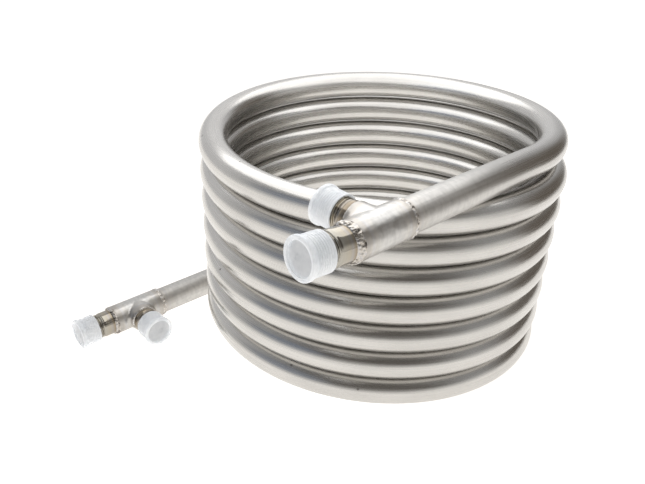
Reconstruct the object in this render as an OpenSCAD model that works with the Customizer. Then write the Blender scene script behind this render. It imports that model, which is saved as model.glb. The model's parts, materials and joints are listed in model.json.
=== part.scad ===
// Tube-in-tube wort chiller: a coil of two tubes, one inside the other, whose ends run out as
// straight leads into welded tees. Wort takes the inner tube and the nipple in line with it;
// water takes the space between the tubes and the nipple on the branch. Millimetres, +Z up,
// standing as it lies on a bench, origin under the middle of its outline.

/* [Tubes] */
// Outside diameter of the outer, water tube
outer_od = 22.2; // [19:0.1:24]
// Wall of the outer tube
outer_wall = 1; // [0.7:0.1:1.6]
// Outside diameter of the inner, wort tube
inner_od = 15.9; // [12:0.1:17]
// Wall of the inner tube
inner_wall = 0.9; // [0.6:0.1:1.4]

/* [Coil] */
// Radius of the tube's centreline at the top of the coil
coil_r = 132.5; // [110:0.1:170]
// How much the radius drops in each turn
coil_taper = 0.475; // [0:0.005:1]
// Gap between one turn and the next
turn_gap = 1; // [0.6:0.1:4]
// Turns between the two leads
turns = 7.287; // [3:0.001:12]
// Bearing at which the upper lead leaves the top turn, anticlockwise from +X
top_leave = 28.3; // [10:0.1:60]

/* [Leads] */
// Radius of the wide bend between the top turn and the upper lead
bend_r = 119; // [100:1:130]
// Angle of that bend
bend_angle = 71.1; // [60:0.1:85]
// Straight part of the upper lead, up to its tee
upper_straight = 145.4; // [120:0.1:200]
// Straight part of the lower lead, up to its tee
lower_straight = 138.1; // [120:0.1:200]
// How far the lower lead points below the slope of the coil
lower_dip = 1.25; // [0:0.05:4]
// How far the upper lead points below the slope of the coil
upper_dip = 0.4; // [0:0.05:0.4]

/* [Tees] */
// Outside diameter of a tee's run
tee_od = 24.4; // [24:0.1:30]
// Length of a tee's run
tee_len = 43.6; // [38:0.1:60]
// Depth of the sockets at both ends of the run
socket_depth = 8; // [5:0.5:10]
// Height of the branch collar's end above the run's axis
collar_top = 15.5; // [14.5:0.1:20]
// How far the upper branch points above level
upper_branch_rise = 2.5; // [-5:0.5:5]

/* [Nipples] */
// Outside diameter of a nipple's plain shank
nipple_od = 21.3; // [20.6:0.1:22]
// Bore of a nipple
nipple_bore = 16.2; // [14:0.1:17]
// Diameter over the thread's crests
thread_od = 20.7; // [20:0.1:21]
// Distance from one thread to the next
thread_pitch = 1.814; // [1.4:0.001:2.2]
// Depth of the thread
thread_depth = 1.1; // [0.6:0.1:1.2]
// Threaded length of a nipple
thread_len = 18.2; // [14:0.1:22]
// Length of the taper from a nipple's shank down to its thread
taper_len = 0.6; // [0.4:0.1:1]
// Plain shank of the upper wort nipple
upper_wort_shank = 12.9; // [9:0.1:20]
// Plain shank of the lower wort nipple
lower_wort_shank = 11.8; // [9:0.1:20]
// Plain shank of a water nipple
water_shank = 4.3; // [3:0.1:12]
// How far the upper wort nipple tips up from its tee's axis
cant_up = 0.7; // [0:0.1:6]
// How far the upper wort nipple swings sideways from its tee's axis
cant_side = 5.5; // [0:0.1:6]

/* [Welds] */
// Size of the bead between a lead and its tee
tube_bead = 1.4; // [0.8:0.1:2]
// Size of the bead between a tee and its wort nipple
run_bead = 1.7; // [1:0.1:2]
// Straight side of that bead, before it rounds over
run_bead_side = 1.4; // [0.5:0.1:2.5]
// Size of the bead between a branch collar and its water nipple
branch_bead = 1; // [0.6:0.1:1.5]

/* [Caps] */
// Length of a thread cap
cap_len = 15.8; // [13:0.1:20]
// Wall of a cap's sleeve
cap_wall = 0.9; // [0.6:0.1:1.5]
// Gap between a cap and the thread's crests
cap_clearance = 0.65; // [0.4:0.05:1]
// Width of the rim round a cap's closed end
rim_len = 3; // [2:0.1:4]
// How far the rim stands out from the sleeve
rim_step = 0.85; // [0.4:0.05:1.5]
// Rounding of the rim
rim_round = 0.8; // [0.4:0.1:1]
// Thickness of a cap's end
cap_web = 1.3; // [0.8:0.1:2]
// Depth of the dish in a cap's end
dish_depth = 0.9; // [0.4:0.1:1.5]
// Width of the raised edge round the dish
dish_edge = 2.6; // [1.5:0.1:4]
// Distance from one rib on a sleeve to the next
rib_pitch = 1.6; // [1.2:0.1:3]
// Depth of the grooves between the ribs
rib_depth = 0.25; // [0.1:0.05:0.3]

/* [Hidden] */
$fn = 64;

steel = [0.72, 0.70, 0.68];
dull_steel = [0.58, 0.56, 0.54];
weld_metal = [0.45, 0.40, 0.36];
plastic = [0.88, 0.93, 0.97];

// Rings to a turn and sides to a ring, for the two tubes.
ring_step = 15;
outer_sides = 12;
inner_sides = 6;

// Running gaps inside the welded ends: round a tube in its hole, and beyond a tube's end.
fit_gap = 0.15;
end_gap = 0.3;
// How much narrower than the run the branch collar is at its root, and how far cuts run past faces.
collar_step = 0.8;
cut = 1;
// The angle of a thread's flanks.
flank_angle = 30;
// How finely the lean is searched: the widest tilt tried, as a slope, and the halvings of it.
widest_tilt = 0.2;
search_rounds = 22;
// Steps between the points that a rim, and the tube's gap to itself, are measured on.
rim_step_angle = 10;
probe_step = 2.5;
// How near to one turn away the tube's gap to itself is looked for.
turn_window = 30;
// How far round the first turn the lead is well clear of it, and may cross over it again.
clear_of_lead = 90;

pitch = outer_od + turn_gap;
slope = atan(pitch / (2 * PI * coil_r));
bottom_leave = top_leave + 360 * turns;
outer_id = outer_od - 2 * outer_wall;
inner_id = inner_od - 2 * inner_wall;
socket_r = outer_od / 2 + fit_gap;
bush_bore = inner_od + 2 * fit_gap;
nipple_r = nipple_od / 2;
collar_d = nipple_od + 2 * branch_bead;
cap_bore_r = thread_od / 2 + cap_clearance;
sleeve_r = cap_bore_r + cap_wall;
rim_r = sleeve_r + rim_step;
cap_depth = cap_len - dish_depth - cap_web;
// Length of a nipple's end that its cap covers.
cap_grip = cap_depth - end_gap;

// ---- Frames: 4 x 4 matrices, for placing modules and points alike ----

function shift(v) = [[1, 0, 0, v[0]], [0, 1, 0, v[1]], [0, 0, 1, v[2]], [0, 0, 0, 1]];
function turn_x(a) = [[1, 0, 0, 0], [0, cos(a), -sin(a), 0], [0, sin(a), cos(a), 0], [0, 0, 0, 1]];
function turn_y(a) = [[cos(a), 0, sin(a), 0], [0, 1, 0, 0], [-sin(a), 0, cos(a), 0], [0, 0, 0, 1]];
function turn_z(a) = [[cos(a), -sin(a), 0, 0], [sin(a), cos(a), 0, 0], [0, 0, 1, 0], [0, 0, 0, 1]];
function at(frame, p) = let (q = frame * [p[0], p[1], p[2], 1]) [q[0], q[1], q[2]];

// Stands at point p with Z along a bearing and an elevation, X below it and Y to its left.
function along(p, bearing, rise) = shift(p) * turn_z(bearing) * turn_y(90 - rise);

// ---- The route of both tubes: frames from the upper lead's end, down the coil, to the lower's ----

function helix(turned) =
    let (r = coil_r - coil_taper * turned / 360)
    [r * cos(turned), r * sin(turned), -pitch * turned / 360];
top = helix(top_leave);
bend_middle = top - bend_r * [cos(top_leave), sin(top_leave), 0];
function bend(turned) =
    bend_middle + bend_r * [
        cos(turned), sin(turned), (top_leave - turned) * PI / 180 * tan(slope)
    ];
bend_end = top_leave - bend_angle;
upper_start = along(bend(bend_end), bend_end - 90, slope - upper_dip) * turn_z(-90);
lower_start = along(helix(bottom_leave), bottom_leave + 90, -slope - lower_dip) * turn_z(90);

// Rings stand at whole steps of bearing, so each turn's rings lie under those of the turn above.
first_ring = ceil(top_leave / ring_step + 0.1) * ring_step;
coil_steps = [
    top_leave, for (a = [first_ring : ring_step : bottom_leave - ring_step / 4]) a, bottom_leave
];
bend_parts = ceil(bend_angle / ring_step);
bend_steps = [for (i = [0 : bend_parts - 1]) bend_end + i * bend_angle / bend_parts];
// The rings where the leads begin face half way between the coil's slope and the lead's.
function coil_rise(turned) = turned == bottom_leave ? -slope - lower_dip / 2 : -slope;
function bend_rise(turned) = turned == bend_end ? -slope + upper_dip / 2 : -slope;
function route(run_on) = [
    along(
        at(upper_start, [0, 0, upper_straight + run_on]), bend_end + 90, -slope + upper_dip
    ),
    for (a = bend_steps) along(bend(a), a + 90, bend_rise(a)),
    for (a = coil_steps) along(helix(a), a + 90, coil_rise(a)),
    along(
        at(lower_start, [0, 0, lower_straight + run_on]), bottom_leave + 90, -slope - lower_dip
    )
];

// ---- The ends: frames whose Z runs out along the tube and whose X is on the branch's side ----

upper_end = upper_start * shift([0, 0, upper_straight + tee_len / 2]);
lower_end = lower_start * shift([0, 0, lower_straight + tee_len / 2]);
upper_tee_frame = upper_end * turn_z(-upper_branch_rise);
lower_tee_frame = lower_end;

// A canted nipple stands off its tee by what its edge would otherwise dig in.
cant = acos(cos(cant_up) * cos(cant_side));
upper_wort_frame = upper_end * shift([0, 0, tee_len / 2 + nipple_r * tan(cant)])
    * turn_x(cant_up) * turn_y(cant_side);
lower_wort_frame = lower_end * shift([0, 0, tee_len / 2]);
upper_water_frame = upper_tee_frame * turn_y(90) * shift([0, 0, collar_top]);
lower_water_frame = lower_tee_frame * turn_y(90) * shift([0, 0, collar_top]);

function cap_frame(nipple_frame, shank) = nipple_frame * shift([0, 0, shank + thread_len - cap_grip]);
upper_wort_cap_frame = cap_frame(upper_wort_frame, upper_wort_shank);
lower_wort_cap_frame = cap_frame(lower_wort_frame, lower_wort_shank);
upper_water_cap_frame = cap_frame(upper_water_frame, water_shank);
lower_water_cap_frame = cap_frame(lower_water_frame, water_shank);

// ---- How it lies on a bench: the tilt that puts its centre of mass lowest ----

function rim_points(frame) = [
    for (a = [0 : rim_step_angle : 360 - rim_step_angle])
        at(frame * turn_z(a), [rim_r, 0, cap_len - rim_round])
];
coil_points = [for (a = coil_steps) helix(a)];
bottom_points = [for (a = coil_steps) if (a > bottom_leave - 360 - turn_window) helix(a)];
low_rims = [each rim_points(lower_wort_cap_frame), each rim_points(lower_water_cap_frame)];
high_rims = [each rim_points(upper_wort_cap_frame), each rim_points(upper_water_cap_frame)];
mass_middle = [0, 0, -pitch * (top_leave / 360 + turns / 2)];

function depth_under(n, points, r) = max([for (p = points) r * norm(n) - n * p]);
function depth_below_origin(n) =
    max(depth_under(n, bottom_points, outer_od / 2), depth_under(n, low_rims, 0));
function ride_height(n) = n * mass_middle + depth_below_origin(n);
function lowest_y(nx, lo, hi, steps) =
    steps < 1 ? (lo + hi) / 2
    : let (third = (hi - lo) / 3)
      ride_height([nx, lo + third, 1]) < ride_height([nx, hi - third, 1])
        ? lowest_y(nx, lo, hi - third, steps - 1)
        : lowest_y(nx, lo + third, hi, steps - 1);
function lowest_x(lo, hi, steps) =
    steps < 1 ? (lo + hi) / 2
    : let (third = (hi - lo) / 3, a = lo + third, b = hi - third)
      ride_height([a, best_y(a), 1]) < ride_height([b, best_y(b), 1])
        ? lowest_x(lo, b, steps - 1)
        : lowest_x(a, hi, steps - 1);
function best_y(nx) = lowest_y(nx, -widest_tilt, widest_tilt, search_rounds);
up_x = lowest_x(-widest_tilt, widest_tilt, search_rounds);
up_y = best_y(up_x);
lean = atan(norm([up_x, up_y]));
lean_bearing = atan2(up_y, up_x);
upright = turn_z(lean_bearing) * turn_y(-lean) * turn_z(-lean_bearing);

function reach(points, axis, r) = [
    min([for (p = points) at(upright, p)[axis]]) - r,
    max([for (p = points) at(upright, p)[axis]]) + r
];
function middle(axis) =
    let (
        tube = reach(coil_points, axis, outer_od / 2),
        rims = reach([each high_rims, each low_rims], axis, 0)
    )
    (min(tube[0], rims[0]) + max(tube[1], rims[1])) / 2;
up = [up_x, up_y, 1] / norm([up_x, up_y, 1]);
standing = shift([-middle(0), -middle(1), depth_below_origin(up)]) * upright;

// ---- Least gap of the tube to itself: each turn to the next, and the upper lead over the coil ----

lead_points = [
    for (a = [bend_end : probe_step : top_leave]) bend(a),
    for (z = [0 : probe_step : upper_straight]) at(upper_start, [0, 0, z])
];
crossed_points = [
    for (a = [top_leave + clear_of_lead : probe_step : top_leave + 2 * 360]) helix(a)
];
function gap_between(these, those) = min([for (p = these, q = those) norm(p - q)]) - outer_od;
echo(
    least_gap_between_turns = min([
        for (
            a = [top_leave : probe_step : bottom_leave - 360 - turn_window],
            b = [a + 360 - turn_window : probe_step : a + 360 + turn_window]
        ) norm(helix(a) - helix(b))
    ]) - outer_od,
    least_gap_under_the_lead = gap_between(lead_points, crossed_points)
);

// ---- Shared shapes ----

module ring(outer_d, inner_d) {
    difference() {
        circle(d = outer_d);
        circle(d = inner_d);
    }
}

// A hollow tube swept through rings that stand on the route's frames, as one closed skin.
module tube(outer_d, inner_d, sides, run_on) {
    stations = [for (f = route(run_on)) standing * f];
    rings = len(stations);
    function ring_points(f, r) = [
        for (j = [0 : sides - 1]) at(f, [r * cos(360 * j / sides), r * sin(360 * j / sides), 0])
    ];
    function outer(i, j) = i * sides + j % sides;
    function inner(i, j) = rings * sides + outer(i, j);
    function quad(a, b, c, d) = [[a, b, c], [a, c, d]];
    polyhedron(
        points = [
            for (f = stations) each ring_points(f, outer_d / 2),
            for (f = stations) each ring_points(f, inner_d / 2)
        ],
        faces = [
            for (i = [0 : rings - 2], j = [0 : sides - 1])
                each concat(
                    quad(outer(i, j), outer(i + 1, j), outer(i + 1, j + 1), outer(i, j + 1)),
                    quad(inner(i, j), inner(i, j + 1), inner(i + 1, j + 1), inner(i + 1, j))
                ),
            for (j = [0 : sides - 1])
                each concat(
                    quad(outer(0, j), outer(0, j + 1), inner(0, j + 1), inner(0, j)),
                    quad(
                        outer(rings - 1, j), inner(rings - 1, j),
                        inner(rings - 1, j + 1), outer(rings - 1, j + 1)
                    )
                )
        ]
    );
}

module tee(frame) {
    color(steel)
        multmatrix(standing * frame)
            difference() {
                union() {
                    translate([0, 0, -tee_len / 2])
                        cylinder(d = tee_od, h = tee_len);
                    rotate([0, 90, 0])
                        cylinder(d1 = tee_od - collar_step, d2 = collar_d, h = collar_top);
                }
                translate([0, 0, -tee_len / 2 - cut])
                    cylinder(d = outer_id, h = tee_len + 2 * cut);
                for (end = [-1, 1])
                    translate([0, 0, end * (tee_len - socket_depth + cut) / 2])
                        cylinder(r = socket_r, h = socket_depth + cut, center = true);
                rotate([0, 90, 0])
                    cylinder(d = nipple_bore, h = collar_top + cut);
            }
}

module bush(frame) {
    color(steel)
        multmatrix(standing * frame)
            translate([0, 0, tee_len / 2 - socket_depth + end_gap])
                linear_extrude(socket_depth - end_gap)
                    ring(2 * (socket_r - fit_gap), bush_bore);
}

// A nipple stands on its weld at z = 0; the thread's grooves are rings.
module nipple(frame, shank) {
    length = shank + thread_len;
    crest_r = thread_od / 2;
    root_r = crest_r - thread_depth;
    half = thread_depth * tan(flank_angle);
    chamfer = thread_depth / 2;
    grooves = floor((thread_len - chamfer) / thread_pitch);
    color(dull_steel)
        multmatrix(standing * frame)
            rotate_extrude()
                polygon([
                    [nipple_bore / 2, 0],
                    [nipple_r, 0],
                    [nipple_r, shank - taper_len],
                    [crest_r, shank],
                    for (i = [0 : grooves - 1])
                        let (z = shank + (i + 0.5) * thread_pitch)
                            each [[crest_r, z - half], [root_r, z], [crest_r, z + half]],
                    [crest_r, length - chamfer],
                    [crest_r - chamfer, length],
                    [nipple_bore / 2, length]
                ]);
}

module quarter_disc(size) {
    intersection() {
        circle(size);
        square(size);
    }
}

// A quarter-round bead on a tube of radius r, from z = 0 up.
module bead(r, size) {
    rotate_extrude()
        translate([r, 0])
            quarter_disc(size);
}

module tube_weld(frame) {
    color(weld_metal)
        multmatrix(standing * frame * shift([0, 0, -tee_len / 2]) * turn_x(180))
            bead(outer_od / 2, tube_bead);
}

module branch_weld(frame) {
    color(weld_metal)
        multmatrix(standing * frame)
            bead(nipple_r, branch_bead);
}

// The collar of weld between a tee and its wort nipple, drawn on the nipple. Where the nipple
// stands off the tee, it also fills the wedge between them, down to the tee's end.
module run_weld(end_frame, nipple_frame, stands_off) {
    fill = stands_off ? tee_od / 4 : 0;
    color(weld_metal)
        multmatrix(standing)
            difference() {
                multmatrix(nipple_frame)
                    rotate_extrude() {
                        translate([nipple_r, -fill])
                            square([run_bead, fill + run_bead_side]);
                        translate([nipple_r, run_bead_side])
                            quarter_disc(run_bead);
                        if (stands_off)
                            translate([bush_bore / 2, -fill])
                                square([nipple_r - bush_bore / 2, fill]);
                    }
                if (stands_off)
                    multmatrix(end_frame)
                        translate([0, 0, tee_len / 2 - 2 * fill])
                            cylinder(d = 2 * tee_od, h = 2 * fill);
            }
}

// A pull-off cap: ribbed sleeve, rounded rim and dished end. z = 0 is its open edge.
module cap(frame) {
    ribbed = cap_len - rim_len - rib_pitch;
    color(plastic)
        multmatrix(standing * frame)
            rotate_extrude()
                difference() {
                    union() {
                        square([sleeve_r, cap_len]);
                        translate([0, cap_len - rim_len])
                            square([rim_r - rim_round, rim_len]);
                        translate([0, cap_len - rim_len + rim_round])
                            square([rim_r, rim_len - 2 * rim_round]);
                        for (z = [cap_len - rim_len + rim_round, cap_len - rim_round])
                            translate([rim_r - rim_round, z])
                                circle(rim_round);
                    }
                    square([cap_bore_r, cap_depth]);
                    translate([0, cap_len - dish_depth])
                        square([rim_r - dish_edge, dish_depth + cut]);
                    for (z = [rib_pitch : rib_pitch : ribbed])
                        translate([sleeve_r - rib_depth, z])
                            square([rib_depth + cut, rib_pitch / 2]);
                }
}

// ---- Sub-parts ----

module outer_tube() {
    color(steel)
        tube(outer_od, outer_id, outer_sides, socket_depth - end_gap);
}

module inner_tube() {
    color(steel)
        tube(inner_od, inner_id, inner_sides, tee_len - end_gap);
}

outer_tube();
inner_tube();
tee(upper_tee_frame);  // upper_tee
bush(upper_end);  // upper_bush
nipple(upper_wort_frame, upper_wort_shank);  // upper_wort_nipple
nipple(upper_water_frame, water_shank);  // upper_water_nipple
tube_weld(upper_end);  // upper_tube_weld
run_weld(upper_end, upper_wort_frame, cant > 0);  // upper_run_weld
branch_weld(upper_water_frame);  // upper_branch_weld
cap(upper_wort_cap_frame);  // upper_wort_cap
cap(upper_water_cap_frame);  // upper_water_cap
tee(lower_tee_frame);  // lower_tee
bush(lower_end);  // lower_bush
nipple(lower_wort_frame, lower_wort_shank);  // lower_wort_nipple
nipple(lower_water_frame, water_shank);  // lower_water_nipple
tube_weld(lower_end);  // lower_tube_weld
run_weld(lower_end, lower_wort_frame, false);  // lower_run_weld
branch_weld(lower_water_frame);  // lower_branch_weld
cap(lower_wort_cap_frame);  // lower_wort_cap
cap(lower_water_cap_frame);  // lower_water_cap
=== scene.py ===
import json
import math

import bmesh
import bpy
import numpy as np
from mathutils import Matrix, Vector, noise


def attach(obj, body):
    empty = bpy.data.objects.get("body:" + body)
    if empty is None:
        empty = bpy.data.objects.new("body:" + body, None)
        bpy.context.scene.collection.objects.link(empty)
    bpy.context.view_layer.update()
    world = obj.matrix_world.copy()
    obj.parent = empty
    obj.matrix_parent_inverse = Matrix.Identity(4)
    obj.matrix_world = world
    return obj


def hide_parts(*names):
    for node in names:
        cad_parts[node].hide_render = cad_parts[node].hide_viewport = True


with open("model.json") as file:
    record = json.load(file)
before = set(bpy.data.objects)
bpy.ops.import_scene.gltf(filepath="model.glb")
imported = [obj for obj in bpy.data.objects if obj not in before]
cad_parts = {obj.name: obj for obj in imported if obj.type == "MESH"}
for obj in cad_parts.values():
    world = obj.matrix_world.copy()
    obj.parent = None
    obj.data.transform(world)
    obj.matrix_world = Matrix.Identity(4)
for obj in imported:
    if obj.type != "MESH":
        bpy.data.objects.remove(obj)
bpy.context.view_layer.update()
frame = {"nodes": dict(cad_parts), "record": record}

# ---- Sizes in millimetres and degrees, the same as the CAD part's ----

outer_od, outer_wall = 22.2, 1.0
inner_od, inner_wall = 15.9, 0.9
coil_r, coil_taper, turn_gap, turns, top_leave = 132.5, 0.475, 1.0, 7.287, 28.3
bend_r, bend_angle = 119.0, 71.1
upper_straight, lower_straight, lower_dip, upper_dip = 145.4, 138.1, 1.25, 0.4
tee_od, tee_len, socket_depth, collar_top, upper_branch_rise = 24.4, 43.6, 8.0, 15.5, 2.5
nipple_od, nipple_bore = 21.3, 16.2
thread_od, thread_pitch, thread_depth, thread_len, taper_len = 20.7, 1.814, 1.1, 18.2, 0.6
flank_angle = 30.0
upper_wort_shank, lower_wort_shank, water_shank = 12.9, 11.8, 4.3
cant_up, cant_side = 0.7, 5.5
run_bead, run_bead_side, branch_bead = 1.7, 1.4, 1.0
cap_len, cap_wall, cap_clearance = 15.8, 0.9, 0.65
rim_len, rim_step, rim_round, cap_web = 3.0, 0.85, 0.8, 1.3
dish_depth, dish_edge, rib_pitch, rib_depth = 0.9, 2.6, 1.6, 0.25
collar_step, fit_gap, end_gap = 0.8, 0.15, 0.3

pitch = outer_od + turn_gap
slope = math.degrees(math.atan(pitch / (2 * math.pi * coil_r)))
bottom_leave = top_leave + 360 * turns
bend_end = top_leave - bend_angle
socket_r = outer_od / 2 + fit_gap
tee_r, tube_r, nipple_r = tee_od / 2, outer_od / 2, nipple_od / 2
cap_bore_r = thread_od / 2 + cap_clearance
sleeve_r = cap_bore_r + cap_wall
rim_r = sleeve_r + rim_step
cap_depth = cap_len - dish_depth - cap_web
cap_grip = cap_depth - end_gap
collar_r = nipple_r + branch_bead

# ---- Frames: 4 x 4 matrices in the coil's own millimetres ----


def cosd(a):
    return math.cos(math.radians(a))


def sind(a):
    return math.sin(math.radians(a))


def shift(x, y, z):
    m = np.eye(4)
    m[:3, 3] = x, y, z
    return m


def turn(axis, a):
    m = np.eye(4)
    i, j = {"x": (1, 2), "y": (2, 0), "z": (0, 1)}[axis]
    m[i, i] = m[j, j] = cosd(a)
    m[i, j], m[j, i] = -sind(a), sind(a)
    return m


def at(place, points):
    """Points given in a frame, in the coil's own millimetres."""
    points = np.asarray(points, float)
    return points @ place[:3, :3].T + place[:3, 3]


def along(point, bearing, rise):
    """A frame at a point, with its Z axis on a bearing and a rise."""
    return shift(*point) @ turn("z", bearing) @ turn("y", 90 - rise)


def helix(angle):
    """The middle of the coiled tube, angle degrees round from the coil's X axis."""
    r = coil_r - coil_taper * angle / 360
    return np.array([r * cosd(angle), r * sind(angle), -pitch * angle / 360])


bend_middle = helix(top_leave) - bend_r * np.array([cosd(top_leave), sind(top_leave), 0])


def bend(angle):
    """The middle of the tube in the bend between the coil and the upper lead."""
    climb = math.radians(top_leave - angle) * math.tan(math.radians(slope))
    return bend_middle + bend_r * np.array([cosd(angle), sind(angle), climb])


upper_start = along(bend(bend_end), bend_end - 90, slope - upper_dip) @ turn("z", -90)
lower_start = along(helix(bottom_leave), bottom_leave + 90, -slope - lower_dip) @ turn("z", 90)
upper_end = upper_start @ shift(0, 0, upper_straight + tee_len / 2)
lower_end = lower_start @ shift(0, 0, lower_straight + tee_len / 2)
upper_tee = upper_end @ turn("z", -upper_branch_rise)
lower_tee = lower_end
cant = math.acos(cosd(cant_up) * cosd(cant_side))
upper_wort = (
    upper_end @ shift(0, 0, tee_len / 2 + nipple_r * math.tan(cant))
    @ turn("x", cant_up) @ turn("y", cant_side)
)
lower_wort = lower_end @ shift(0, 0, tee_len / 2)
upper_water = upper_tee @ turn("y", 90) @ shift(0, 0, collar_top)
lower_water = lower_tee @ turn("y", 90) @ shift(0, 0, collar_top)
nipples = {
    "upper_wort": (upper_wort, upper_wort_shank),
    "lower_wort": (lower_wort, lower_wort_shank),
    "upper_water": (upper_water, water_shank),
    "lower_water": (lower_water, water_shank),
}


def rigid_fit(here, there):
    """The turn and shift that carry points here to points there."""
    a, b = here.mean(0), there.mean(0)
    u, _, vt = np.linalg.svd((here - a).T @ (there - b))
    flip = np.diag([1, 1, np.sign(np.linalg.det(vt.T @ u.T))])
    m = np.eye(4)
    m[:3, :3] = vt.T @ flip @ u.T
    m[:3, 3] = b - m[:3, :3] @ a
    return m


# How the coil stands in the part's frame, from the four nipples' mounts in the record: the middle
# of each mount, and a point an arm's length from it along its axis.
arm = 100.0
here, there = [], []
for mount in frame["record"]["mounts"]:
    place, shank = nipples[mount["name"]]
    middle = shank + mount["dims"]["length_mm"] / 2
    here += [at(place, [0, 0, middle]), at(place, [0, 0, middle + arm])]
    point = 1000 * np.array(mount["pos_m"])
    there += [point, point + arm * np.array(mount["axis"])]
standing = rigid_fit(np.array(here), np.array(there))

# ---- Meshes ----

no_weld = 100.0
merge_within = 1e-7


def lattice(rows, cols):
    """Quads of a grid whose rows and columns both close on themselves."""
    i = np.arange(rows)[:, None]
    j = np.arange(cols)[None, :]
    a, b = i * cols + j, i * cols + (j + 1) % cols
    up = (i + 1) % rows
    return np.stack([a, b, up * cols + (j + 1) % cols, up * cols + j], -1).reshape(-1, 4)


def wrap_uv(mesh, around, length):
    """UVs with U round the piece and V along it, mended where a face crosses the seam."""
    loops = np.zeros(len(mesh.loops), int)
    mesh.loops.foreach_get("vertex_index", loops)
    starts = np.zeros(len(mesh.polygons), int)
    mesh.polygons.foreach_get("loop_start", starts)
    sizes = np.zeros(len(mesh.polygons), int)
    mesh.polygons.foreach_get("loop_total", sizes)
    u = around[loops]
    low = np.repeat(np.minimum.reduceat(u, starts), sizes)
    high = np.repeat(np.maximum.reduceat(u, starts), sizes)
    u = np.where((high - low > 0.5) & (u < 0.5), u + 1, u)
    uv = np.stack([u, length[loops]], -1)
    layer = mesh.uv_layers.new(name="around")
    layer.uv.foreach_set("vector", uv.astype(np.float32).ravel())


def piece(name, points, faces, body, slot, nodes, material, grain, weld, sharp=38.0):
    """A mesh from points in the coil's millimetres. grain holds, for each point, how far along
    the metal's grain it lies and its place across it; weld is how far the nearest weld is, or on
    a bead how high the bead stands there. Edges over sharp degrees aren't smoothed."""
    mesh = bpy.data.meshes.new(name)
    placed = at(standing, np.asarray(points).reshape(-1, 3)) / 1000
    mesh.from_pydata(placed.tolist(), [], np.asarray(faces).tolist())
    grain = np.asarray(grain, float).reshape(-1, 3)
    layer = mesh.attributes.new("grain", "FLOAT_VECTOR", "POINT")
    layer.data.foreach_set("vector", (grain / 1000).astype(np.float32).ravel())
    layer = mesh.attributes.new("weld", "FLOAT", "POINT")
    reach = np.broadcast_to(np.asarray(weld, float).reshape(-1), len(grain))
    layer.data.foreach_set("value", (reach / 1000).astype(np.float32))
    bm = bmesh.new()
    bm.from_mesh(mesh)
    bmesh.ops.remove_doubles(bm, verts=bm.verts, dist=merge_within)
    bmesh.ops.recalc_face_normals(bm, faces=bm.faces)
    bm.to_mesh(mesh)
    bm.free()
    mesh.update()
    kept = np.zeros(len(mesh.vertices) * 3, np.float32)
    mesh.attributes["grain"].data.foreach_get("vector", kept)
    kept = kept.reshape(-1, 3).astype(float)
    wrap_uv(mesh, np.arctan2(kept[:, 2], kept[:, 1]) / (2 * math.pi) % 1, kept[:, 0])
    mesh.shade_smooth()
    mesh.set_sharp_from_angle(angle=math.radians(sharp))
    mesh.materials.append(material)
    thing = bpy.data.objects.new(name, mesh)
    bpy.context.scene.collection.objects.link(thing)
    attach(thing, body)
    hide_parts(*nodes)


def turned(name, place, radius, height, body, slot, nodes, material, weld=no_weld, **settings):
    """A piece turned about a frame's Z axis. radius and height are grids of rows by columns, and
    the rows close into a loop."""
    rows, cols = radius.shape
    a = np.arange(cols) * 2 * math.pi / cols
    local = np.stack([radius * np.cos(a), radius * np.sin(a), height], -1)
    grain = np.stack([height, radius * np.cos(a), radius * np.sin(a)], -1)
    piece(name, at(place, local), lattice(rows, cols), body, slot, nodes, material, grain, weld,
          **settings)


def columns(values, cols):
    """One value for each row, repeated round all the columns."""
    return np.repeat(np.array(values, float)[:, None], cols, 1)


def arc(r, z, size, start, end, steps):
    """Points (radius, height) of an arc round (r, z)."""
    angles = [start + (end - start) * i / steps for i in range(steps + 1)]
    return [(r + size * cosd(a), z + size * sind(a)) for a in angles]


# ---- Materials: rates are in waves a metre, along and across the grain; reaches in metres ----

noise_low, noise_high, noise_rough = 0.3, 0.7, 0.55
plain_detail, fine_detail, streak_detail, dent_detail = 3.0, 2.0, 4.0, 1.5
millimetre = 0.001
quarter_turn = 0.25


def grey(level):
    return (level, level, level, 1)


def toned(colour, by):
    return (*[min(1, c * by) for c in colour], 1)


def node(tree, kind, inputs=None, **settings):
    """A node, with each input linked to a socket or set to a value."""
    made = tree.nodes.new(kind)
    for key, value in settings.items():
        setattr(made, key, value)
    for key, value in (inputs or {}).items():
        if isinstance(value, bpy.types.NodeSocket):
            tree.links.new(value, made.inputs[key])
        else:
            made.inputs[key].default_value = value
    return made


def mixed(tree, factor, a, b, how="MIX"):
    """A colour mix, whose colour sockets are numbers 6 and 7."""
    return node(
        tree, "ShaderNodeMix", {0: factor, 6: a, 7: b}, data_type="RGBA", blend_type=how
    ).outputs[2]


def maths(tree, how, a, b):
    return node(tree, "ShaderNodeMath", {0: a, 1: b}, operation=how).outputs[0]


def ranged(tree, value, low, high, out_low, out_high):
    return node(
        tree, "ShaderNodeMapRange",
        {"Value": value, "From Min": low, "From Max": high, "To Min": out_low, "To Max": out_high},
        interpolation_type="SMOOTHSTEP",
    ).outputs[0]


def attribute(tree, name, output):
    return node(tree, "ShaderNodeAttribute", attribute_name=name).outputs[output]


def noise_on(tree, grain, rates, detail=plain_detail):
    """Noise on the grain, stretched by its two rates."""
    scale = (rates[0], rates[1], rates[1])
    spread = node(tree, "ShaderNodeVectorMath", {0: grain, 1: scale}, operation="MULTIPLY")
    return node(
        tree, "ShaderNodeTexNoise",
        {"Vector": spread.outputs[0], "Scale": 1.0, "Detail": detail, "Roughness": noise_rough},
    ).outputs["Fac"]


def ramp(tree, value, stops):
    made = node(tree, "ShaderNodeValToRGB", {0: value})
    band = made.color_ramp
    while len(band.elements) < len(stops):
        band.elements.new(0.5)
    for element, (place, colour) in zip(band.elements, stops):
        element.position = place
        element.color = (*colour, 1)
    return made.outputs[0]


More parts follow.
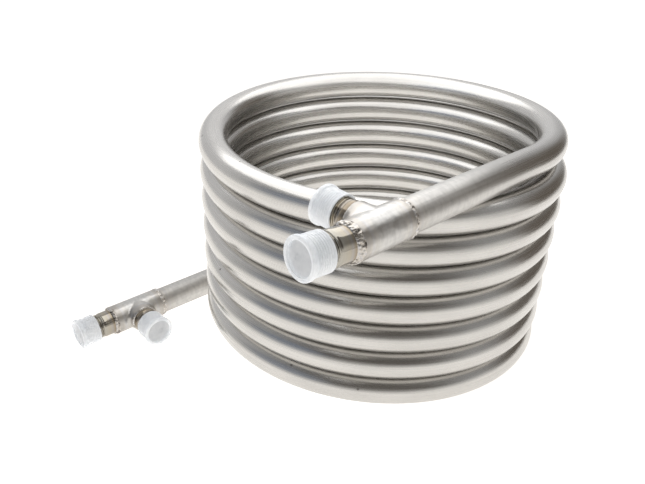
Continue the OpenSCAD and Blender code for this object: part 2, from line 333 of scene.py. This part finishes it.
def bumped(tree, shader, height, distance, strength):
    made = node(
        tree, "ShaderNodeBump", {"Height": height, "Distance": distance, "Strength": strength}
    )
    tree.links.new(made.outputs[0], shader.inputs["Normal"])


def new_material(name):
    made = bpy.data.materials.new(name)
    made.use_nodes = True
    tree = made.node_tree
    return made, tree, tree.nodes["Principled BSDF"]


# Brushing, along a piece and round it: the rates of its streaks and of its finest lines.
brushed_along = (9.0, 900.0), (40.0, 3200.0)
brushed_round = (1500.0, 30.0), (4200.0, 60.0)
cloud_rates, cloud_dark, cloud_light = (22.0, 60.0), 0.95, 1.04
streak_low, streak_dark, streak_share = 0.35, 0.82, 0.15
streak_smooth, streak_rough = -0.05, 0.07
line_depth = 0.009
dent_rates = (130.0, 170.0)

# The colours that a weld's heat leaves, from the weld outwards.
heat_reach = 0.016
heat_tints = [
    (0.0, (0.5, 0.42, 0.34)), (0.15, (0.74, 0.64, 0.52)), (0.3, (0.86, 0.84, 0.88)),
    (0.5, (0.97, 0.92, 0.84)), (1.0, (1, 1, 1)),
]

# Metal that was sanded across near a weld: darker patches, a duller surface and cross lines.
patch_rates, patch_low, patch_high = (330.0, 170.0), 0.35, 0.62
patch_dark, patch_share, patch_near, patch_far = 0.55, 0.27, 0.02, 0.15
dull_more, dull_near, dull_far = 0.16, 0.01, 0.17
cross_rates, cross_depth, cross_near, cross_far = (2600.0, 120.0), 0.03, 0.002, 0.034

# Small dark specks: how many cells a metre is cut into, how large a speck is in its cell, and the
# share of cells that have one.
speck_cells, speck_size, speck_few = 62.0, 0.055, 0.2
speck_cover, speck_colour = 0.7, (0.16, 0.14, 0.13, 1)


def steel(name, colour, rough, stretch, heat, around=False, dents=0.0, sanded=0.0):
    """Brushed steel. stretch is how far the brushing draws highlights out; heat is how much the
    welds have tinted it; around says that the brushing runs round the piece; dents is the depth
    of slow unevenness in millimetres; sanded is how much was sanded across near a weld."""
    made, tree, shader = new_material(name)
    grain = attribute(tree, "grain", "Vector")
    weld = attribute(tree, "weld", "Fac")
    streak_rates, line_rates = brushed_round if around else brushed_along
    streak = noise_on(tree, grain, streak_rates, streak_detail)
    lines = noise_on(tree, grain, line_rates, fine_detail)
    cloud = noise_on(tree, grain, cloud_rates)

    paint = mixed(
        tree, ranged(tree, cloud, noise_low, noise_high, 0.0, 1.0),
        toned(colour, cloud_dark), toned(colour, cloud_light),
    )
    paint = mixed(
        tree, ranged(tree, streak, streak_low, noise_high, 0.0, streak_share), paint,
        toned(colour, streak_dark),
    )
    tints = ramp(tree, ranged(tree, weld, 0.0, heat_reach, 0.0, 1.0), heat_tints)
    paint = mixed(tree, heat, paint, tints, "MULTIPLY")
    patch = maths(
        tree, "MULTIPLY",
        ranged(tree, noise_on(tree, grain, patch_rates), patch_low, patch_high, patch_share, 0.0),
        ranged(tree, weld, patch_near, patch_far, sanded, 0.0),
    )
    paint = mixed(tree, patch, paint, toned(colour, patch_dark))
    cells = node(tree, "ShaderNodeTexVoronoi", {"Vector": grain, "Scale": speck_cells})
    draw = node(tree, "ShaderNodeSeparateColor", {0: cells.outputs["Color"]}).outputs[0]
    speck = maths(
        tree, "MULTIPLY", maths(tree, "LESS_THAN", cells.outputs["Distance"], speck_size),
        maths(tree, "LESS_THAN", draw, speck_few),
    )
    paint = mixed(tree, maths(tree, "MULTIPLY", speck, speck_cover), paint, speck_colour)
    tree.links.new(paint, shader.inputs["Base Color"])

    uneven = ranged(tree, streak, noise_low, noise_high, streak_smooth, streak_rough)
    dull = ranged(tree, weld, dull_near, dull_far, dull_more * sanded, 0.0)
    tree.links.new(
        maths(tree, "ADD", maths(tree, "ADD", uneven, rough), dull), shader.inputs["Roughness"]
    )
    across = maths(
        tree, "MULTIPLY", noise_on(tree, grain, cross_rates, fine_detail),
        ranged(tree, weld, cross_near, cross_far, cross_depth * sanded, 0.0),
    )
    scratch = maths(tree, "ADD", maths(tree, "MULTIPLY", lines, line_depth), across)
    slow = maths(tree, "MULTIPLY", noise_on(tree, grain, dent_rates, dent_detail), dents)
    bumped(tree, shader, maths(tree, "ADD", scratch, slow), millimetre, 1.0)
    tangent = node(tree, "ShaderNodeTangent", direction_type="UV_MAP", uv_map="around")
    tree.links.new(tangent.outputs[0], shader.inputs["Tangent"])
    shader.inputs["Metallic"].default_value = 1.0
    shader.inputs["Anisotropic"].default_value = stretch
    shader.inputs["Anisotropic Rotation"].default_value = quarter_turn if around else 0.0
    return made


tube_metal = steel(
    "tube_steel_brushed", (0.62, 0.605, 0.58), rough=0.25, stretch=0.5, heat=0.25, sanded=1.0
)
inner_metal = steel("inner_steel_drawn", (0.6, 0.59, 0.57), rough=0.3, stretch=0.5, heat=0.2)
tee_metal = steel(
    "tee_steel_satin", (0.61, 0.6, 0.58), rough=0.17, stretch=0.35, heat=0.4, dents=0.4,
    sanded=1.0,
)
nipple_metal = steel(
    "nipple_steel_turned", (0.41, 0.39, 0.345), rough=0.11, stretch=0.4, heat=0.85,
    around=True, dents=0.06,
)
bush_metal = steel(
    "bush_steel_turned", (0.6, 0.59, 0.57), rough=0.3, stretch=0.3, heat=0.3, around=True
)

# Weld metal: its patches of oxide, its pits, and the heights between which a crown turns bright.
oxide_rates, pit_rates = (260.0, 190.0), (2200.0, 2200.0)
oxide_straw, oxide_blue, oxide_tan = (0.46, 0.42, 0.37), (0.48, 0.47, 0.48), (0.58, 0.53, 0.46)
pit_depth, pit_strength, bead_smooth, bead_rough = 0.00012, 0.8, 0.16, 0.42
crown_low, crown_high, crown_share = 0.0004, 0.0012, 0.6


def weld_material(name, dark, bright):
    """Weld metal: bright crowns, and dark, straw, tan and bluish oxide in patches."""
    made, tree, shader = new_material(name)
    grain = attribute(tree, "grain", "Vector")
    colours = ramp(tree, noise_on(tree, grain, oxide_rates), [
        (0.38, dark), (0.46, oxide_straw), (0.54, bright), (0.62, oxide_blue), (0.7, oxide_tan),
    ])
    crown = ranged(
        tree, attribute(tree, "weld", "Fac"), crown_low, crown_high, 0.0, crown_share
    )
    tree.links.new(mixed(tree, crown, colours, (*bright, 1)), shader.inputs["Base Color"])
    pits = noise_on(tree, grain, pit_rates)
    rough = ranged(tree, pits, noise_low, noise_high, bead_smooth, bead_rough)
    tree.links.new(rough, shader.inputs["Roughness"])
    bumped(tree, shader, pits, pit_depth, pit_strength)
    shader.inputs["Metallic"].default_value = 1.0
    return made


bead_metal = weld_material("weld_metal_bead", (0.32, 0.3, 0.28), (0.7, 0.68, 0.65))
run_bead_metal = weld_material("weld_metal_run", (0.08, 0.07, 0.06), (0.6, 0.57, 0.53))

# Milky plastic: its clouds, how far it covers what lies behind, its web inside the dish, and the
# faint lines of its moulding.
milk_rates, milk_blue, milk_white = (70.0, 90.0), (0.9, 0.935, 0.985, 1), (0.96, 0.975, 0.99, 1)
cap_smooth, cap_rough = 0.24, 0.36
cover_low, cover_high, cover_least, cover_most = 0.25, 0.75, 0.64, 0.82
web_grey, web_share, web_clearer = 0.5, 0.55, 0.1
web_edge_in, web_edge_out, web_under = 0.0006, 0.0002, 0.0005
flow_rates, flow_depth, flow_strength = (900.0, 260.0), 0.00006, 0.6


def milky_plastic(name):
    """Milky polyethylene: cloudy and partly clear, so the thread shows faintly through it. The
    thin web inside the dish is greyer and a little clearer."""
    made, tree, shader = new_material(name)
    grain = attribute(tree, "grain", "Vector")
    cloud = noise_on(tree, grain, milk_rates)
    milk = mixed(
        tree, ranged(tree, cloud, noise_low, noise_high, 0.0, 1.0), milk_blue, milk_white
    )
    place = node(tree, "ShaderNodeSeparateXYZ", {0: grain})
    across = node(tree, "ShaderNodeCombineXYZ", {1: place.outputs[1], 2: place.outputs[2]})
    away = node(tree, "ShaderNodeVectorMath", {0: across.outputs[0]}, operation="LENGTH")
    dish_reach, web_height = (rim_r - dish_edge) / 1000, cap_depth / 1000
    web = maths(
        tree, "MULTIPLY",
        ranged(tree, away.outputs["Value"], dish_reach - web_edge_in, dish_reach + web_edge_out,
               1.0, 0.0),
        ranged(tree, place.outputs[0], web_height - web_under, web_height, 0.0, 1.0),
    )
    tree.links.new(
        mixed(tree, maths(tree, "MULTIPLY", web, web_share), milk, grey(web_grey)),
        shader.inputs["Base Color"],
    )
    cover = maths(
        tree, "SUBTRACT", ranged(tree, cloud, cover_low, cover_high, cover_least, cover_most),
        maths(tree, "MULTIPLY", web, web_clearer),
    )
    tree.links.new(cover, shader.inputs["Alpha"])
    rough = ranged(tree, cloud, noise_low, noise_high, cap_smooth, cap_rough)
    tree.links.new(rough, shader.inputs["Roughness"])
    flow = noise_on(tree, grain, flow_rates, fine_detail)
    bumped(tree, shader, flow, flow_depth, flow_strength)
    shader.inputs["IOR"].default_value = 1.5
    shader.inputs["Subsurface Weight"].default_value = 0.5
    # A faint painted glow: this emission stands in for light scattered through the milky plastic,
    # though the cap is no lamp.
    shader.inputs["Emission Color"].default_value = (0.92, 0.96, 1.0, 1)
    shader.inputs["Emission Strength"].default_value = 0.13
    shader.inputs["Subsurface Radius"].default_value = (1.0, 1.0, 1.0)
    shader.inputs["Subsurface Scale"].default_value = 0.003
    return made


cap_plastic = milky_plastic("cap_plastic_milky")

# ---- The two tubes: a ring every few degrees of a turn, and every few millimetres of a lead ----

ring_turn = 3.0
lead_step = 6.0
outer_cols, inner_cols = 32, 20


def route(run_on):
    """Frames of a tube's rings, from the upper end, and how far along each one lies. run_on is
    how far the tube goes into each tee."""
    upper_reach, lower_reach = upper_straight + run_on, lower_straight + run_on
    upper_count, lower_count = round(upper_reach / lead_step), round(lower_reach / lead_step)
    bend_count, coil_count = round(bend_angle / ring_turn), round(360 * turns / ring_turn)
    stations = []
    for i in range(upper_count):
        point = at(upper_start, [0, 0, upper_reach * (1 - i / upper_count)])
        stations.append(along(point, bend_end + 90, -slope + upper_dip))
    for i in range(bend_count):
        a = bend_end + i * bend_angle / bend_count
        kink = 0 if i else upper_dip / 2
        stations.append(along(bend(a), a + 90, -slope + kink))
    for i in range(coil_count + 1):
        a = top_leave + i * 360 * turns / coil_count
        kink = lower_dip / 2 if i == coil_count else 0
        stations.append(along(helix(a), a + 90, -slope - kink))
    for i in range(1, lower_count + 1):
        point = at(lower_start, [0, 0, lower_reach * i / lower_count])
        stations.append(along(point, bottom_leave + 90, -slope - lower_dip))
    middles = np.array([s[:3, 3] for s in stations])
    steps = np.linalg.norm(np.diff(middles, axis=0), axis=1)
    return stations, np.concatenate([[0], np.cumsum(steps)])


def tube(name, od, wall, run_on, cols, node_name, slot, material):
    stations, lengths = route(run_on)
    a = np.arange(cols) * 2 * math.pi / cols
    circle = np.stack([np.cos(a), np.sin(a), 0 * a], -1)
    skins = [(s, x, od / 2) for s, x in zip(stations, lengths)]
    skins += [(s, x, (od - 2 * wall) / 2) for s, x, _ in reversed(skins)]
    points = np.array([at(s, r * circle) for s, _, r in skins])
    grain = np.array([r * circle[:, [2, 0, 1]] + [x, 0, 0] for _, x, r in skins])
    x = grain[..., 0]
    weld = np.minimum(np.abs(x - run_on), np.abs(lengths[-1] - run_on - x))
    piece(name, points, lattice(len(skins), cols), "coil", slot, [node_name], material, grain,
          weld)


tube("outer_tube_drawn", outer_od, outer_wall, socket_depth - end_gap, outer_cols,
     "outer_tube", "tube_steel", tube_metal)
tube("inner_tube_drawn", inner_od, inner_wall, tee_len - end_gap, inner_cols,
     "inner_tube", "inner_steel", inner_metal)

# ---- The tees: a skin drawn where a field crosses zero ----

# The grid's step and margin, the roundings, the moves that bring a point onto the skin, and how
# near the branch counts as near its weld.
tee_step, tee_margin = 0.5, 2.0
edge_round, mouth_round = 0.5, 0.3
shoulder_least, shoulder_more, shoulder_from, shoulder_run = 0.3, 3.4, 5, 6
skin_rounds, least_rise = 6, 0.5
branch_weld_near = 1


def soft_max(a, b, size):
    """The greater of two fields, rounded over size where they meet."""
    h = np.clip(0.5 + 0.5 * (a - b) / size, 0, 1)
    return b + (a - b) * h + size * h * (1 - h)


def tee_field(p):
    """Less than zero inside the metal of a tee whose run lies on Z and branch on +X."""
    x, y, z = np.moveaxis(p, -1, 0)
    run = np.hypot(x, y)
    across = np.hypot(y, z)
    lean = (tee_r - collar_step / 2 - collar_r) / collar_top
    cone = across - (collar_r + lean * (collar_top - x))
    branch = soft_max(soft_max(cone, x - collar_top, edge_round), -x, edge_round)
    shoulder = shoulder_least + shoulder_more * np.clip((x - shoulder_from) / shoulder_run, 0, 1)
    body = soft_max(run - tee_r, np.abs(z) - tee_len / 2, edge_round)
    whole = -soft_max(-body, -branch, shoulder)
    bore = run - (tube_r - outer_wall)
    sockets = np.maximum(run - socket_r, tee_len / 2 - socket_depth - np.abs(z))
    way_out = np.maximum(across - nipple_bore / 2, -x)
    hollow = np.minimum(np.minimum(bore, sockets), way_out)
    return soft_max(whole, -hollow, mouth_round)


def skin_of(field, low, high, step):
    """Points and quads of the closed skin round where field is below zero: a point in each cell
    that the skin crosses, moved onto it, and a quad across each grid edge that goes through."""
    axes = [np.arange(a, b + step, step) for a, b in zip(low, high)]
    inside = field(np.stack(np.meshgrid(*axes, indexing="ij"), -1)) < 0
    shape = [len(a) - 1 for a in axes]
    count = sum(
        inside[i:shape[0] + i, j:shape[1] + j, k:shape[2] + k].astype(int)
        for i in (0, 1) for j in (0, 1) for k in (0, 1)
    )
    cells = np.argwhere((count > 0) & (count < 8))
    number = np.full(shape, -1)
    number[tuple(cells.T)] = np.arange(len(cells))
    points = np.array(low) + (cells + 0.5) * step
    tiny = step / 50
    for _ in range(skin_rounds):
        value = field(points)
        rise = np.stack([
            (field(points + d) - field(points - d)) / (2 * tiny) for d in tiny * np.eye(3)
        ], -1)
        squared = np.maximum((rise ** 2).sum(-1), least_rise ** 2)
        points = points - np.clip(value[:, None] * rise / squared[:, None], -step / 2, step / 2)
    faces = []
    for axis in range(3):
        j, k = (axis + 1) % 3, (axis + 2) % 3
        first = np.take(inside, range(shape[axis]), axis)
        second = np.take(inside, range(1, shape[axis] + 1), axis)
        for a, b, turned_over in ((first, second, False), (second, first, True)):
            edges = np.argwhere(a & ~b)
            corners = []
            for dj, dk in ((0, 0), (-1, 0), (-1, -1), (0, -1)):
                cell = edges.copy()
                cell[:, j] += dj
                cell[:, k] += dk
                corners.append(number[tuple(cell.T)])
            faces.append(np.stack(corners[::-1] if turned_over else corners, -1))
    return points, np.concatenate(faces)


half = tee_r + tee_margin
tee_points, tee_faces = skin_of(
    tee_field, (-half, -half, -tee_len / 2 - tee_margin),
    (collar_top + tee_margin, half, tee_len / 2 + tee_margin), tee_step,
)
tee_x, tee_y, tee_z = tee_points.T
tee_grain = np.stack([tee_z, tee_x, tee_y], -1)
tee_weld = np.minimum(tee_len / 2 - np.abs(tee_z), np.where(
    np.hypot(tee_y, tee_z) < collar_r + branch_weld_near, np.abs(collar_top - tee_x), no_weld
))
for name, place in (("upper", upper_tee), ("lower", lower_tee)):
    piece(f"{name}_tee_pulled", at(place, tee_points), tee_faces, "coil", "tee_steel",
          [f"{name}_tee"], tee_metal, tee_grain, np.abs(tee_weld))

# ---- Threaded nipples ----

# The thread's rows and columns, half the flat at its root, the turns that it runs in over, and
# the broken edges of the shank and of the bore's mouth.
thread_cols = 96
rows_a_pitch = 12
root_flat = 0.08
run_in_turns = 1.3
shank_break, shank_break_run = 0.04, 0.2
mouth_wide, mouth_deep = 0.3, 0.4


def nipple(name, place, shank):
    """A shank and a true helical thread, which runs in over its first turns and has a chamfered
    start at the free end. z = 0 is the end in the tee."""
    length = shank + thread_len
    crest, chamfer, bore = thread_od / 2, thread_depth / 2, nipple_bore / 2
    a = np.arange(thread_cols) / thread_cols
    count = round(thread_len / thread_pitch * rows_a_pitch)
    z = shank + np.arange(count + 1) * thread_len / count
    phase = ((z[:, None] - shank) / thread_pitch - a) % 1
    flank = np.abs(phase - 0.5) * thread_pitch - root_flat
    cut_in = np.clip(
        thread_depth - flank / math.tan(math.radians(flank_angle)), 0, thread_depth
    )
    fade = np.clip((z[:, None] - shank) / (run_in_turns * thread_pitch), 0, 1)
    start = np.clip(z[:, None] - (length - chamfer), 0, chamfer)
    thread_r = np.minimum(crest - cut_in * fade, crest - start)
    plain = [0.0, mouth_deep, shank * 0.25, shank * 0.5, shank * 0.75,
             shank - taper_len - shank_break_run]
    radii = np.concatenate([
        columns([bore] + len(plain) * [nipple_r] + [nipple_r - shank_break], thread_cols),
        thread_r,
        columns([bore + mouth_wide, bore, bore, bore], thread_cols),
    ])
    heights = columns(
        [0.0, *plain, shank - taper_len, *z, length, length - mouth_deep, length / 2, mouth_deep],
        thread_cols,
    )
    turned(f"{name}_nipple_threaded", place, radii, heights, "coil", "nipple_steel",
           [f"{name}_nipple"], nipple_metal, weld=np.abs(heights), sharp=30.0)


for name, (place, shank) in nipples.items():
    nipple(name, place, shank)

# ---- Weld beads ----

# How far a bead leans out along its axis; the rates of its lumps and of its wander; how the wander
# shifts its crown and ripples; and the levels that ripples and lumps are counted from.
cols_a_ripple = 7
lean_out = 0.6
grain_a_row = 0.4
spot_circle, spot_across = 6, 2.2
wander_rate, wander_crown, wander_ripple = 0.35, 0.3, 0.5
swell_power, ripple_bow, ripple_low = 0.7, 0.45, 0.6
dome_rate, dome_steep, dome_low = 1.15, 1.3, 0.4


def bead_height(a, t, seed, ripples, crown, ripple, lumps):
    """How far a bead stands out at angle a (0 to 1 round) and t (0 to 1 across)."""
    spot = Vector((
        spot_circle * math.cos(2 * math.pi * a), spot_circle * math.sin(2 * math.pi * a),
        spot_across * t + seed,
    ))
    wander = noise.noise(spot * wander_rate)
    swell = math.sin(math.pi * t) ** swell_power
    beat = ripples * a + ripple_bow * math.sin(math.pi * t) + wander_ripple * wander
    coin = abs(math.sin(math.pi * beat))
    dome = 1 - min(1, noise.voronoi(spot * dome_rate)[0][0] * dome_steep)
    return swell * (
        crown * (1 + wander_crown * wander) + ripple * (coin - ripple_low)
        + lumps * (dome - dome_low)
    )


def bead(name, first, second, inside, seed, material, rows, **look):
    """A weld bead between two rings, each (frame, radius, height), closed inside."""
    cols = look["ripples"] * cols_a_ripple
    a = np.arange(cols) / cols
    circle = np.stack([np.cos(2 * math.pi * a), np.sin(2 * math.pi * a), 0 * a], -1)

    def ring(place, radius, height):
        return at(place, radius * circle + [0, 0, height])

    start, end = ring(*first), ring(*second)
    rotation, axis = first[0][:3, :3], first[0][:3, 2]
    out = circle @ rotation.T + lean_out * axis * np.sign((end - start).mean(0) @ axis)
    out = out / np.linalg.norm(out, axis=1)[:, None]
    points, level = [], []
    for i in range(rows + 1):
        t = i / rows
        high = np.array([bead_height(s, t, seed, **look) for s in a])
        points.append((1 - t) * start + t * end + high[:, None] * out)
        level.append(high)
    points += [ring(second[0], inside, second[2]), ring(first[0], inside, first[2])]
    level += [0 * a, 0 * a]
    points = np.array(points)
    span = np.arange(len(points))[:, None] * grain_a_row
    grain = np.stack([
        np.broadcast_to(span, points.shape[:2]),
        first[1] * np.broadcast_to(circle[:, 0], points.shape[:2]),
        first[1] * np.broadcast_to(circle[:, 1], points.shape[:2]),
    ], -1)
    piece(f"{name}_bead", points, lattice(len(points), cols), "coil", "weld_metal",
          [name], material, grain, np.maximum(np.array(level), 0), sharp=60.0)


# Where the beads start and end on the tee, the tube and the nipples, and how they are laid.
sunk = 0.05
tube_bead_on_tee, tube_bead_on_tube, run_bead_on_tee = 1.3, 2.5, 0.5
branch_bead_on_collar, branch_bead_on_nipple = 0.45, 1.0
inside_thin, inside_thick = 0.6, 0.7
tube_lay = {"crown": 0.75, "ripple": 0.25, "lumps": 0.9, "ripples": 26, "rows": 12}
run_lay = {"crown": 0.8, "ripple": 0.3, "lumps": 0.75, "ripples": 30, "rows": 14}
branch_lay = {"crown": 0.22, "ripple": 0.25, "lumps": 0.08, "ripples": 44, "rows": 6}
run_seed, branch_seed = 4, 7

for name, end, wort, water, seed in (
    ("upper", upper_end, upper_wort, upper_water, 3.0),
    ("lower", lower_end, lower_wort, lower_water, 11.0),
):
    bead(f"{name}_tube_weld", (end, tee_r + sunk, -tee_len / 2 + tube_bead_on_tee),
         (end, tube_r - sunk, -tee_len / 2 - tube_bead_on_tube), tube_r - inside_thin, seed,
         bead_metal, **tube_lay)
    bead(f"{name}_run_weld", (end, tee_r - sunk, tee_len / 2 - run_bead_on_tee),
         (wort, nipple_r - sunk, run_bead_side + run_bead), nipple_r - inside_thick,
         seed + run_seed, run_bead_metal, **run_lay)
    bead(f"{name}_branch_weld", (water, collar_r - sunk, -branch_bead_on_collar),
         (water, nipple_r - sunk, branch_bead_on_nipple), nipple_r - inside_thin,
         seed + branch_seed, bead_metal, **branch_lay)

# ---- Thread caps ----

# The roundings of a cap's edges, with the steps that each is drawn in, and how far the flanks of
# its ribs lean.
cap_cols = 96
soft_steps, rim_steps, step_steps = 3, 6, 2
dish_soft, step_soft, foot_soft, bore_soft, web_soft = 0.25, 0.3, 0.25, 0.2, 0.4
rib_out, rib_in = 0.1, 0.15


def cap_profile():
    """(radius, height) round half a cap, from the dish's middle out, down and back inside."""
    dish_r, dish_z = rim_r - dish_edge, cap_len - dish_depth
    loop = [(0, dish_z), (dish_r * 0.5, dish_z)]
    loop += arc(dish_r - dish_soft, dish_z + dish_soft, dish_soft, -90, 0, soft_steps)
    loop += arc(dish_r + dish_soft, cap_len - dish_soft, dish_soft, 180, 90, soft_steps)
    rim_z = cap_len - rim_len
    loop += arc(rim_r - rim_round, cap_len - rim_round, rim_round, 90, 0, rim_steps)
    loop += arc(rim_r - rim_round, rim_z + rim_round, rim_round, 0, -90, rim_steps)
    loop += arc(sleeve_r + step_soft, rim_z - step_soft, step_soft, 90, 180, step_steps)
    groove_r = sleeve_r - rib_depth
    for i in range(int((rim_z - rib_pitch) / rib_pitch), 0, -1):
        z = i * rib_pitch
        top = z + 0.5 * rib_pitch
        loop += [
            (sleeve_r, top + rib_out), (groove_r, top - rib_in),
            (groove_r, z + rib_in), (sleeve_r, z - rib_out),
        ]
    loop += arc(sleeve_r - foot_soft, foot_soft, foot_soft, 0, -90, soft_steps)
    loop += arc(cap_bore_r + bore_soft, bore_soft, bore_soft, -90, -180, soft_steps)
    loop += [(cap_bore_r, cap_depth * 0.5)]
    loop += arc(cap_bore_r - web_soft, cap_depth - web_soft, web_soft, 0, 90, soft_steps)
    return loop + [(cap_bore_r * 0.5, cap_depth), (0, cap_depth)]


cap_radii, cap_heights = (columns(values, cap_cols) for values in zip(*cap_profile()))
for name, (place, shank) in nipples.items():
    cap_place = place @ shift(0, 0, shank + thread_len - cap_grip)
    turned(f"{name}_cap_moulded", cap_place, cap_radii, cap_heights, f"{name}_cap",
           "cap_plastic", [f"{name}_cap"], cap_plastic, sharp=50.0)

# ---- The bushes stay as CAD solids ----

for name in ("upper_bush", "lower_bush"):
    thing = frame["nodes"][name]
    thing.data.materials.clear()
    thing.data.materials.append(bush_metal)

# ---- Camera: fitted to the photograph in the coil's frame, with its place in tube diameters ----

eye_diameters = (-1.9537, -25.278, 8.536)
tilt_down = math.degrees(0.486084)
roll = 0.0446117
picture_width, focal_pixels, sensor, sight_metres = 645, 746.46, 36.0, 50

forward = np.array([0, cosd(tilt_down), -sind(tilt_down)])
level_right = np.array([1.0, 0, 0])
level_up = np.array([0, sind(tilt_down), cosd(tilt_down)])
view = np.eye(4)
view[:3, 0] = math.cos(roll) * level_right + math.sin(roll) * level_up
view[:3, 1] = math.cos(roll) * level_up - math.sin(roll) * level_right
view[:3, 2] = -forward
view[:3, 3] = np.array(eye_diameters) * outer_od
view = standing @ view
view[:3, 3] /= 1000
camera_data = bpy.data.cameras.new("camera")
camera_data.sensor_width = sensor
camera_data.sensor_fit = "HORIZONTAL"
camera_data.lens = focal_pixels / picture_width * sensor
camera_data.clip_end = sight_metres
camera = bpy.data.objects.new("camera", camera_data)
camera.matrix_world = Matrix(view.tolist())
bpy.context.scene.collection.objects.link(camera)
bpy.context.scene.camera = camera

# ---- Floor and light, in metres and degrees in the part's frame ----

floor_left, floor_right, floor_front, floor_back = -3.0, 0.9, -3.0, 3.0
floor_grey, floor_glow, floor_glow_level = 0.5, (1, 0.975, 0.94, 1), 0.92
softbox_wide, softbox_deep, softbox_level, softbox_turn = 0.43, 0.44, 1.42, 32.7
softbox_place = (0.0384, 0.0601, 0.36)

floor_mesh = bpy.data.meshes.new("floor")
floor_mesh.from_pydata(
    [(floor_left, floor_front, 0), (floor_right, floor_front, 0),
     (floor_right, floor_back, 0), (floor_left, floor_back, 0)], [], [(0, 1, 2, 3)]
)
floor = bpy.data.objects.new("floor", floor_mesh)
bpy.context.scene.collection.objects.link(floor)
floor_paint, _, shader = new_material("floor_white")
shader.inputs["Base Color"].default_value = grey(floor_grey)
shader.inputs["Roughness"].default_value = 0.9
shader.inputs["Specular IOR Level"].default_value = 0.1
shader.inputs["Emission Color"].default_value = floor_glow
shader.inputs["Emission Strength"].default_value = floor_glow_level
floor_mesh.materials.append(floor_paint)

softbox = bpy.data.lights.new("softbox", "AREA")
softbox.shape = "RECTANGLE"
softbox.size, softbox.size_y = softbox_wide, softbox_deep
softbox.energy = softbox_level * math.pi * softbox.size * softbox.size_y
overhead = bpy.data.objects.new("softbox", softbox)
overhead.location = softbox_place
overhead.rotation_euler = (0.0, 0.0, math.radians(softbox_turn))
overhead.visible_camera = False
bpy.context.scene.collection.objects.link(overhead)

# The room as the metal sees it: a grey with lobes, each (direction, degrees that it is full
# within, degrees that it ends at, colour), and a pale floor's light from low down in front. The
# camera itself sees white.
room_grey, front_colour = 0.36, (0.85, 0.84, 0.82, 1)
front_height, front_depth = 0.38, 0.25
room_lobes = (
    ((-0.45, 0.85, 0.1), 35, 80, (0.68, 0.68, 0.69)),
    ((-0.05, 1.0, 0.6), 12, 30, (0.85, 0.85, 0.86)),
    ((0.05, -1.0, 0.6), 32, 62, (0.13, 0.12, 0.11)),
    ((1.0, 0.45, 0.05), 15, 38, (0.15, 0.13, 0.11)),
    ((-1.0, -0.75, 0.45), 10, 35, (0.24, 0.27, 0.33)),
)

world = bpy.data.worlds.new("studio")
world.use_nodes = True
bpy.context.scene.world = world
tree = world.node_tree
for old in list(tree.nodes):
    tree.nodes.remove(old)
way = node(tree, "ShaderNodeTexCoord").outputs["Generated"]


def lobe(direction, inner, outer):
    """1 within inner degrees of a direction, fading to 0 at outer degrees."""
    facing = node(
        tree, "ShaderNodeVectorMath", {0: way, 1: tuple(Vector(direction).normalized())},
        operation="DOT_PRODUCT",
    ).outputs["Value"]
    return ranged(tree, facing, cosd(outer), cosd(inner), 0.0, 1.0)


sky = grey(room_grey)
for direction, inner, outer, colour in room_lobes:
    sky = mixed(tree, lobe(direction, inner, outer), sky, (*colour, 1))
parts = node(tree, "ShaderNodeSeparateXYZ", {0: way})
low_down = ranged(tree, parts.outputs[2], 0.0, front_height, 1.0, 0.0)
in_front = ranged(tree, parts.outputs[1], -front_depth, front_depth, 1.0, 0.0)
sky = mixed(tree, maths(tree, "MULTIPLY", low_down, in_front), sky, front_colour)
background = node(tree, "ShaderNodeBackground", {"Color": sky, "Strength": 1.0})
plain = node(tree, "ShaderNodeBackground", {"Color": grey(1), "Strength": 1.0})
seen = node(tree, "ShaderNodeLightPath").outputs["Is Camera Ray"]
both = node(tree, "ShaderNodeMixShader", {0: seen, 1: background.outputs[0], 2: plain.outputs[0]})
node(tree, "ShaderNodeOutputWorld", {0: both.outputs[0]})

# The floor's white stays white.
bpy.context.scene.view_settings.view_transform = "Standard"
